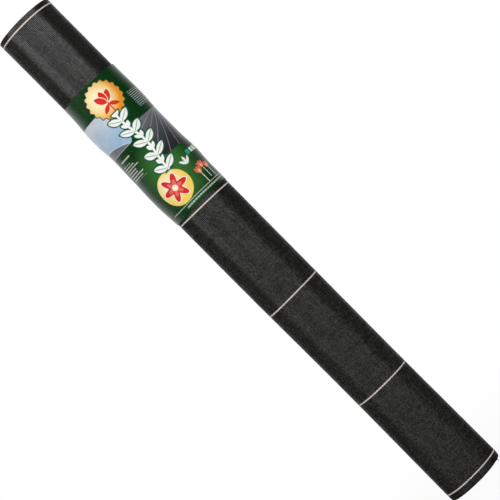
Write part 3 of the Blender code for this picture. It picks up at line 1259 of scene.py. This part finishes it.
@dataclass
class FabricRoll:
    """The woven sheet: its outer turn, the turns inside it, and the loose yarn ends."""

    winding: Winding
    outer_turns: float = 1.14
    outer_columns: int = 134
    outer_rows: int = 241
    inner_steps: int = 60
    inner_shares: tuple[float, ...] = (0, 0.0025, 0.006, 0.03, 0.25, 0.5, 0.75, 0.97, 0.994, 0.9975, 1.0)
    lap_of_parts: float = 0.002
    end_slip: float = 0.0009
    least_slip: float = 0.25
    slip_settles: float = 3.0
    slip_middle: float = 2.6
    slip_span: float = 5.0
    slip_waves: tuple[SineWave, ...] = (
        SineWave(rate=0.61, shift=1.0, size=1.0),
        SineWave(rate=0.173, shift=2.0, size=1.0),
        SineWave(rate=FULL_TURN * 3, shift=1.0, size=0.3),
        SineWave(rate=7.7, shift=1.0, size=0.4),
    )
    upper_shifts: float = 0.7
    lower_shifts: float = 2.9
    corner_azimuth: float = math.radians(-22)
    corner_spread: float = math.radians(26)
    corner_turns_back: float = 0.27
    corner_fade: float = 1.2
    corner_rise: float = 0.0032
    corner_dip: float = 0.0013
    corner_reach: float = 0.010
    ragged_waves: tuple[SineWave, ...] = (
        SineWave(rate=410, shift=0, size=0.0006),
        SineWave(rate=37, shift=1, size=0.0009),
    )
    fray_seed: int = 5
    fray_count: int = 26
    fray_turns_back: tuple[float, float] = (0.02, 2.4)
    fray_lengths: tuple[float, float] = (0.0012, 0.0034)
    fray_widths: tuple[float, float] = (0.0004, 0.0011)
    fray_drift: float = 0.8
    upper_leans: tuple[float, float] = (0.0, 0.5)
    lower_leans: tuple[float, float] = (0.8, 1.1)
    upper_root: float = 0.0006
    lower_root: float = 0.0007
    inner_lean_share: float = 0.1
    least_fray_height: float = 0.0004
    fray_weave_from: tuple[float, float] = (3.0, 0.4)
    fray_weave_stretch: float = 0.7
    long_root: tuple[float, float, float] = (0.0499, math.radians(-37), 0.0022)
    long_tip: tuple[float, float, float] = (0.0452, -0.0535, 0.0007)
    long_bend: tuple[float, float] = (0.0016, 0.0012)
    long_turns: tuple[float, float] = (math.pi * 1.3, math.pi)
    long_twist: float = 1.2
    long_width: float = 0.0021

    def build(self) -> None:
        """Makes, dresses and hands over the sheet and its frays."""
        weave = WovenFinish().make()
        finishes = [weave, weave, CutEdgeFinish().make()]
        outer = self.build_outer_turn(finishes)
        inner = self.build_inner_turns(finishes)
        frays = self.build_frays(weave)
        hand_over(outer, Body.ROLL, ["fabric_winding"])
        hand_over(inner, Body.ROLL, ["fabric_winding"])
        hand_over(frays, Body.ROLL)

    def edge_heights(self, turns_back: np.ndarray, end: RollEnd) -> np.ndarray:
        """Returns how far in from the roll's end each turn's edge stands.

        Args:
            turns_back: the turns back from the free edge.
            end: which end of the roll.

        Returns:
            The distances, none below zero.
        """
        shifts = self.upper_shifts if end is RollEnd.UPPER else self.lower_shifts
        waves = sum(wave.at(turns_back, shifts) for wave in self.slip_waves)
        within = np.minimum(turns_back / self.slip_settles, 1.0)
        return self.end_slip * (self.least_slip + (waves + self.slip_middle) / self.slip_span * within)

    def place_turns(self, turns_back: np.ndarray, shares: np.ndarray) -> Sheet:
        """Lays columns of the sheet in the winding.

        Args:
            turns_back: each column's turns back from the free edge, falling, so that columns go outwards.
            shares: each row's share of the way up.

        Returns:
            The sheet.
        """
        winding = self.winding
        low = self.edge_heights(turns_back, RollEnd.LOWER)[:, None]
        high = SHEET_WIDTH - self.edge_heights(turns_back, RollEnd.UPPER)[:, None]
        back = turns_back[:, None]
        azimuth = winding.azimuth(back)
        from_corner = angle_between(azimuth, self.corner_azimuth) / self.corner_spread
        turns_away = np.abs(back - self.corner_turns_back)
        corner = np.exp(-(from_corner**2)) * np.exp(-turns_away * self.corner_fade)
        low = low + self.corner_rise * corner
        height = low + (high - low) * shares[None, :]
        near_floor = 1 - eased((height - low) / self.corner_reach)
        radius = winding.radius(back, height) - self.corner_dip * corner * near_floor
        thickness = winding.sheet_thickness
        along = -turns_back * winding.girth
        return Sheet.wrapped(radius - thickness, thickness, azimuth, height, along, height)

    def build_outer_turn(self, finishes: Sequence[bpy.types.Material]) -> bpy.types.Object:
        """Makes the turn that shows, on a fine grid, with an uneven free edge.

        Args:
            finishes: the materials of its two faces and of its edges.

        Returns:
            The outer turn.
        """
        turns = np.linspace(self.outer_turns, 0.0, self.outer_columns)
        sheet = self.place_turns(turns, np.linspace(0, 1, self.outer_rows))
        sheet.folds = 2
        ragged = sum(wave.at(sheet.across[-1]) for wave in self.ragged_waves)
        way = np.array([-math.sin(FREE_EDGE_AZIMUTH), math.cos(FREE_EDGE_AZIMUTH), 0.0])
        for grid in (sheet.outer, sheet.inner):
            grid[-1] += ragged[:, None] * way
        return sheet.build("fabric_outer_turn", finishes)

    def build_inner_turns(self, finishes: Sequence[bpy.types.Material]) -> bpy.types.Object:
        """Makes the turns under the outer one, which show at the two ends.

        Args:
            finishes: the materials of its two faces and of its edges.

        Returns:
            The inner turns.
        """
        last = self.winding.turns
        steps = int((last - self.outer_turns) * self.inner_steps)
        turns = np.linspace(last, self.outer_turns + self.lap_of_parts, steps)
        sheet = self.place_turns(turns, np.array(self.inner_shares))
        return sheet.build("fabric_inner_turns", finishes)

    def build_frays(self, weave: bpy.types.Material) -> bpy.types.Object:
        """Makes the short loose yarn ends along the sheet's edges, and the long one at the lower end.

        Args:
            weave: their material.

        Returns:
            All frays, as one piece.
        """
        chance = np.random.default_rng(self.fray_seed)
        frays = [self.long_fray()]
        for number in range(self.fray_count):
            frays.append(self.short_fray(chance, RollEnd.UPPER if number % 2 else RollEnd.LOWER))
        points, faces, count = [], [], 0
        for fray in frays:
            ring, made = fray.grid()
            points.append(ring)
            faces.append(made + count)
            count += len(ring)
        spots, corners = np.concatenate(points), np.concatenate(faces)
        along, across = self.fray_weave_from
        places = np.stack(
            [spots[corners, 0] * self.fray_weave_stretch + along, across + spots[corners, 1]], -1
        )
        return Shell(spots, corners, places).build("loose_yarn_ends", [weave])

    def long_fray(self) -> Fray:
        """Returns the loose tape that lies out from the lower end on the right."""
        start = on_circle(*np.array(self.long_root))
        share = np.linspace(0, 1, 12)
        path = start + (np.array(self.long_tip) - start) * share[:, None]
        for axis, bend, turn in zip((0, 2), self.long_bend, self.long_turns):
            path[:, axis] += bend * np.sin(share * turn)
        turn = share * self.long_twist
        side = np.stack([0.6 * np.cos(turn), 0.5 * np.cos(turn), 0.55 + 0.4 * np.sin(turn)], -1)
        side /= np.linalg.norm(side, axis=1)[:, None]
        return Fray(path, side, self.long_width)

    def short_fray(self, chance: np.random.Generator, end: RollEnd) -> Fray:
        """Returns one short loose end at a random place on an end of the roll.

        Args:
            chance: where the random numbers come from.
            end: which end of the roll.

        Returns:
            The fray.
        """
        winding = self.winding
        back = chance.uniform(*self.fray_turns_back)
        azimuth = float(winding.azimuth(np.array(back)))
        slip = float(self.edge_heights(np.array(back), end))
        length = chance.uniform(*self.fray_lengths)
        drift = chance.uniform(-self.fray_drift, self.fray_drift)
        if end is RollEnd.UPPER:
            lean = chance.uniform(*self.upper_leans)
            base = SHEET_WIDTH - slip - self.upper_root
        else:
            lean = chance.uniform(*self.lower_leans)
            base = slip + self.lower_root
        share = np.linspace(0, 1, 6)
        height = base + share * length * (1 - lean) * end.value
        radius = float(winding.radius(np.array(back), np.array(base))) - winding.sheet_thickness / 2
        radius = radius + share**1.5 * length * lean * (1.0 if back < 1 else self.inner_lean_share)
        turn = azimuth + share * length * drift / winding.mean_radius
        path = on_circle(radius, turn, np.maximum(height, self.least_fray_height))
        side = np.stack([-np.sin(turn), np.cos(turn), np.zeros(len(share))], -1)
        return Fray(path, side, chance.uniform(*self.fray_widths))


@dataclass
class GuideYarns:
    """The pale guide yarns, as they lie round the outer turn."""

    winding: Winding
    nodes: tuple[str, ...] = tuple(f"guide_line_{number}" for number in range(1, 7))
    slants: tuple[float, ...] = (0.0004, 0.0, 0.0011, -0.0003, 0.0004, 0.0)
    width: float = 0.0023
    waist_share: float = 0.16
    thickness: float = 0.00010
    clearance: float = 0.00004
    float_rise: float = 0.00005
    edge_drop: float = 0.00004
    tail_margin: float = 0.0012
    first_turns_back: float = 0.995
    columns: int = 500
    row_places: tuple[float, ...] = (-0.5, -0.3, 0.0, 0.3, 0.5)
    wave_seed: int = 40

    def build(self) -> None:
        """Makes, dresses and hands over each guide yarn."""
        finish = GuideYarnFinish().make()
        for number, (node, slant) in enumerate(zip(self.nodes, self.slants), 1):
            low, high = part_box(node)
            yarn = self.build_yarn((low.z + high.z) / 2, slant, finish, number)
            hand_over(yarn, Body.ROLL, [node])

    def build_yarn(
        self, height: float, slant: float, finish: bpy.types.Material, number: int
    ) -> bpy.types.Object:
        """Makes one yarn round the outer turn.

        Args:
            height: its height on the roll.
            slant: how much lower it runs on the right than on the left, halved.
            finish: its material.
            number: its number, from the top.

        Returns:
            The yarn.
        """
        girth = self.winding.girth
        back = np.linspace(self.first_turns_back, self.tail_margin / girth, self.columns)[:, None]
        azimuth = self.winding.azimuth(back)
        along = -back * girth
        across = np.array(self.row_places)[None, :]
        waves = Waves(self.wave_seed + number, count=5, height=0.00012, shortest=0.03, longest=0.16)
        wander = waves.at(along, np.zeros_like(along))
        dip = 0.5 + 0.5 * np.cos(along * FULL_TURN / GUIDE_WEFT_PITCH)
        place = height - slant * np.cos(azimuth) + wander
        place = place + across * self.width * (1 - self.waist_share * dip**3)
        crown = self.float_rise * (1 - 0.7 * dip) - self.edge_drop * (2 * across) ** 4
        base = self.winding.radius(back, place) + self.clearance
        rows = across[0] * self.width + height
        sheet = Sheet.wrapped(base, self.thickness + crown, azimuth, place, along[:, 0], rows)
        return sheet.build(f"guide_yarn_{number}", [finish])


@dataclass
class TailTapes:
    """The tapes over the sheet's free edge at the back."""

    winding: Winding
    nodes: tuple[str, ...] = ("tail_tape_lower", "tail_tape_middle")
    length: float = 0.080
    width: float = 0.048
    thickness: float = 0.00006
    clearance: float = 0.00005
    ramp: float = 0.005
    teeth: int = 15
    tooth_depth: float = 0.0011
    slant: float = 0.002
    steps: int = 90

    def build(self) -> None:
        """Makes, dresses and hands over each tape."""
        finish = StickyTapeFinish("clear_brown_tape", rgb(0.50, 0.42, 0.28), alpha=0.42).make()
        for node in self.nodes:
            low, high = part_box(node)
            tape = self.build_tape((low.z + high.z) / 2, f"{node}_strip", finish)
            hand_over(tape, Body.ROLL, [node])

    def build_tape(self, height: float, name: str, finish: bpy.types.Material) -> bpy.types.Object:
        """Makes one tape, with the toothed ends that a cutter leaves.

        Args:
            height: the height of its middle.
            name: the piece's name.
            finish: its material.

        Returns:
            The tape.
        """
        winding = self.winding
        rows = self.teeth * 2 + 1
        across = np.linspace(-0.5, 0.5, rows)[None, :] * self.width
        tooth = (np.arange(rows) % 2)[None, :] * self.tooth_depth
        share = np.linspace(-1, 1, self.steps)[:, None]
        along = share * (self.length / 2 - tooth)
        azimuth = FREE_EDGE_AZIMUTH + along / winding.mean_radius
        place = height + across + self.slant * share
        surface = winding.radius(winding.back_at(azimuth), place) + winding.bridge(azimuth, self.ramp)
        sheet = Sheet.wrapped(
            surface + self.clearance, self.thickness, azimuth, place, along[:, 0], across[0] + height
        )
        return sheet.build(name, [finish])


@dataclass(frozen=True)
class Bulge:
    """A place where the loose film stands away from the roll."""

    azimuth: float
    height: float
    spread_degrees: float
    spread: float
    rise: float
    flatness: float = 2.4

    def at(self, azimuth: np.ndarray, height: np.ndarray) -> np.ndarray:
        """Returns how far the film stands away for this bulge."""
        around = angle_between(azimuth, math.radians(self.azimuth)) / math.radians(self.spread_degrees)
        up = (height - self.height) / self.spread
        return self.rise * np.exp(-(around**2) - np.abs(up) ** self.flatness)


@dataclass
class PrintedSleeve:
    """The printed film round the roll, lapped at the back, and the tape along its lap."""

    winding: Winding
    start_azimuth: float = math.radians(110)
    lap: float = math.radians(26.7)
    thickness: float = 0.00012
    clearance: float = 0.00030
    loose_fit: float = 0.001
    lap_gap: float = 0.00012
    lap_ramp: float = 0.010
    lap_lead: float = 0.012
    ramp: float = 0.016
    columns: int = 200
    rows: int = 127
    curl_waves: tuple[SineWave, ...] = (
        SineWave(rate=2, shift=0.6, size=0.0007),
        SineWave(rate=5, shift=0, size=0.0004),
    )
    curl_share: float = 0.8
    curl_power: int = 5
    tape_width: float = 0.020
    tape_thickness: float = 0.00006
    tape_clearance: float = 0.00004
    tape_margin: float = 0.004
    tape_step: float = 0.002
    tape_columns: int = 31
    tape_rows: int = 97
    bulges: tuple[Bulge, ...] = (
        Bulge(0, 0.848, 40, 0.036, 0.0014),
        Bulge(-4, 0.797, 44, 0.029, 0.0020),
        Bulge(2, 0.674, 34, 0.021, 0.0016),
        Bulge(180, 0.790, 42, 0.034, 0.0033),
        Bulge(182, 0.722, 40, 0.024, 0.0012),
        Bulge(180, 0.658, 42, 0.046, 0.0034),
        Bulge(262, 0.700, 30, 0.050, 0.0006),
        Bulge(232, 0.830, 26, 0.030, 0.0005),
        Bulge(300, 0.765, 24, 0.022, 0.0005),
        Bulge(80, 0.730, 34, 0.060, 0.0010),
    )

    def build(self) -> None:
        """Makes, dresses and hands over the film and its tape."""
        low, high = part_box("label_sleeve")
        film = self.build_film(low.z, high.z)
        tape = self.build_tape(low.z, high.z)
        hand_over(film, Body.SLEEVE, ["label_sleeve"])
        hand_over(tape, Body.SLEEVE, ["sleeve_seam_tape"])

    def film_radius(self, azimuth: np.ndarray, height: np.ndarray) -> np.ndarray:
        """Returns the film's inner radius in its first layer.

        Args:
            azimuth: the angle round the axis.
            height: the height.

        Returns:
            The radius, clear of the roll at any place that the sleeve slides to.
        """
        widest = self.winding.plain_radius(self.winding.back_at(azimuth)) + self.winding.upper_swell
        bridge = self.winding.bridge(azimuth, self.ramp)
        return widest + bridge + self.clearance + sum(bulge.at(azimuth, height) for bulge in self.bulges)

    def build_film(self, low: float, high: float) -> bpy.types.Object:
        """Makes the film, whose second layer is lifted over the first at the lap.

        Args:
            low: the height of its lower edge.
            high: the height of its upper edge.

        Returns:
            The film.
        """
        first_edge = self.start_azimuth + FULL_TURN
        azimuth = np.linspace(self.start_azimuth, first_edge + self.lap, self.columns)[:, None]
        share = np.linspace(0, 1, self.rows)[None, :]
        along = (azimuth - FRONT_AZIMUTH) * (self.winding.mean_radius + self.loose_fit)
        curl = sum(wave.at(azimuth) for wave in self.curl_waves)
        curled = curl * (2 * share - 1) ** self.curl_power * self.curl_share
        height = low + (high - low) * share + curled
        past = (azimuth - first_edge) * self.winding.mean_radius
        lift = (self.thickness + self.lap_gap) * eased((past + self.lap_lead) / self.lap_ramp)
        radius = self.film_radius(azimuth, height) + lift
        sheet = Sheet.wrapped(
            radius, self.thickness, azimuth, height, along[:, 0], share[0] * (high - low)
        )
        print_finish = PrintedFilmFinish().make()
        return sheet.build("printed_film", [print_finish, FilmInsideFinish().make(), print_finish])

    def build_tape(self, low: float, high: float) -> bpy.types.Object:
        """Makes the tape along the film's outer edge.

        Args:
            low: the height of the film's lower edge.
            high: the height of its upper edge.

        Returns:
            The tape.
        """
        along = np.linspace(-0.5, 0.5, self.tape_columns)[:, None] * self.tape_width
        azimuth = self.start_azimuth + self.lap + along / self.winding.mean_radius
        height = np.linspace(low + self.tape_margin, high - self.tape_margin, self.tape_rows)
        second_layer = (self.thickness + self.lap_gap) * (1 - eased(along / self.tape_step))
        film = self.film_radius(azimuth, height[None, :]) + self.thickness
        base = film + second_layer + self.tape_clearance
        sheet = Sheet.wrapped(base, self.tape_thickness, azimuth, height[None, :], along[:, 0], height)
        finish = StickyTapeFinish("clear_tape", rgb(0.70, 0.73, 0.70), alpha=0.34, roughness=0.1).make()
        return sheet.build("sleeve_seam_strip", [finish])


@dataclass(frozen=True)
class SoftLamp:
    """A large square lamp that faces the roll."""

    name: str
    azimuth: float
    elevation: float
    distance: float
    size: float
    power: float

    def build(self, aim: Vector) -> None:
        """Makes the lamp.

        Args:
            aim: the point that it faces.
        """
        turn, rise = math.radians(self.azimuth), math.radians(self.elevation)
        away = Vector((math.sin(turn) * math.cos(rise), -math.cos(turn) * math.cos(rise), math.sin(rise)))
        data = bpy.data.lights.new(self.name, "AREA")
        data.shape = "SQUARE"
        data.size = self.size
        data.energy = self.power
        lamp = bpy.data.objects.new(self.name, data)
        lamp.location = aim + away * self.distance
        lamp.rotation_mode = "QUATERNION"
        lamp.rotation_quaternion = away.to_track_quat("Z", "Y")
        bpy.context.scene.collection.objects.link(lamp)


@dataclass
class Studio:
    """The white floor, the surroundings, the lamps and the camera."""

    floor_size: float = 14.0
    floor_colour: Colour = rgb(0.65, 0.65, 0.65)
    shadow_share: float = 0.94
    shadow_reach: float = 0.25
    shadow_fade: float = 0.6
    wall_from: float = 0.05
    wall_power: float = 1.3
    wall_glow: float = 0.95
    left_from: float = 0.35
    left_lead: float = 0.45
    left_glow: float = 0.60
    even_glow: float = 0.03
    unmirrored_share: float = 0.25
    camera_distance: float = 3.32
    camera_height: float = 0.5
    camera_roll: float = 44.81
    camera_shift: float = 0.0004
    lens: float = 153.4
    lamps: tuple[SoftLamp, ...] = (
        SoftLamp("left_lamp", -59, 33, 3.45, 1.9, 46.0),
        SoftLamp("front_left_lamp", -20, 34, 3.45, 1.7, 25.0),
        SoftLamp("front_right_lamp", 15, 34, 3.45, 1.4, 34.0),
        SoftLamp("right_lamp", 48, 33, 3.45, 1.4, 35.0),
        SoftLamp("rear_lamp", 170, 50, 3.4, 1.8, 40.0),
    )

    def build(self) -> None:
        """Makes everything round the roll."""
        self.build_floor()
        self.build_surroundings()
        for lamp in self.lamps:
            lamp.build(Vector((0.0, 0.0, self.camera_height)))
        self.build_camera()
        bpy.context.scene.view_settings.view_transform = "Standard"
        log.info("studio: %d lamps", len(self.lamps))

    def build_floor(self) -> None:
        """Makes the floor, which is white to the camera but keeps the roll's shadow."""
        half = self.floor_size / 2
        corners = [(-half, -half, 0), (half, -half, 0), (half, half, 0), (-half, half, 0)]
        mesh = bpy.data.meshes.new("floor")
        mesh.from_pydata(corners, [], [(0, 1, 2, 3)])
        floor = bpy.data.objects.new("floor", mesh)
        bpy.context.scene.collection.objects.link(floor)
        material = bpy.data.materials.new("white_floor")
        material.use_nodes = True
        nodes = ShaderNodes(material.node_tree)
        across, away = nodes.split(nodes.node("ShaderNodeNewGeometry").outputs["Position"])
        path = nodes.node("ShaderNodeLightPath")
        mirrored = nodes.value(path, "Is Glossy Ray").most(nodes.value(path, "Is Transmission Ray"))
        seen = (mirrored * away.clamp()).most(nodes.value(path, "Is Camera Ray"))
        beyond = ((across.reach(away) - self.shadow_reach) / self.shadow_fade).clamp()
        glowing = beyond * (1 - self.shadow_share) + self.shadow_share
        plain = nodes.node("ShaderNodeBsdfDiffuse", sockets={"Color": self.floor_colour}).outputs[0]
        glow = nodes.node("ShaderNodeEmission", sockets={"Color": WHITE, "Strength": 1.0}).outputs[0]
        nodes.end(nodes.blend(seen * glowing, plain, glow))
        mesh.materials.append(material)

    def build_surroundings(self) -> None:
        """Makes the surroundings: white to the camera, bright behind the roll and dim before it."""
        world = bpy.data.worlds.new("white_studio")
        world.use_nodes = True
        bpy.context.scene.world = world
        nodes = ShaderNodes(world.node_tree)
        sideways, behind = nodes.split(nodes.node("ShaderNodeTexCoord").outputs["Generated"])
        wall = (behind - self.wall_from).most(0.0) ** self.wall_power
        left = (-sideways - self.left_from).most(0.0) * (behind + self.left_lead).clamp()
        path = nodes.node("ShaderNodeLightPath")
        mirrored = nodes.value(path, "Is Glossy Ray") * (1 - self.unmirrored_share) + self.unmirrored_share
        glow = (wall * self.wall_glow + left * self.left_glow) * mirrored + self.even_glow
        strength = glow.most(nodes.value(path, "Is Camera Ray"))
        background = nodes.node("ShaderNodeBackground", sockets={"Color": WHITE, "Strength": strength})
        nodes.end(background.outputs[0], "ShaderNodeOutputWorld")

    def build_camera(self) -> None:
        """Makes the camera, square to the roll's axis and rolled so that the axis runs down to the right."""
        data = bpy.data.cameras.new("camera")
        data.lens = self.lens
        data.sensor_width = 36.0
        data.clip_start = 0.1
        data.clip_end = 60.0
        camera = bpy.data.objects.new("camera", data)
        place = Matrix.Translation((self.camera_shift, -self.camera_distance, self.camera_height))
        level = Matrix.Rotation(math.radians(90), 4, "X")
        camera.matrix_world = place @ level @ Matrix.Rotation(math.radians(-self.camera_roll), 4, "Z")
        bpy.context.scene.collection.objects.link(camera)
        bpy.context.scene.camera = camera


def main() -> None:
    """Builds every piece and the studio, in order."""
    logging.basicConfig(level=logging.INFO, format="%(message)s")
    winding = Winding()
    log.info("winding: %.1f turns, %.3f mm apart", winding.turns, winding.pitch * MM_PER_METRE)
    CoreAssembly(winding).build()
    FabricRoll(winding).build()
    GuideYarns(winding).build()
    TailTapes(winding).build()
    PrintedSleeve(winding).build()
    Studio().build()


if __name__ == "__main__":
    main()
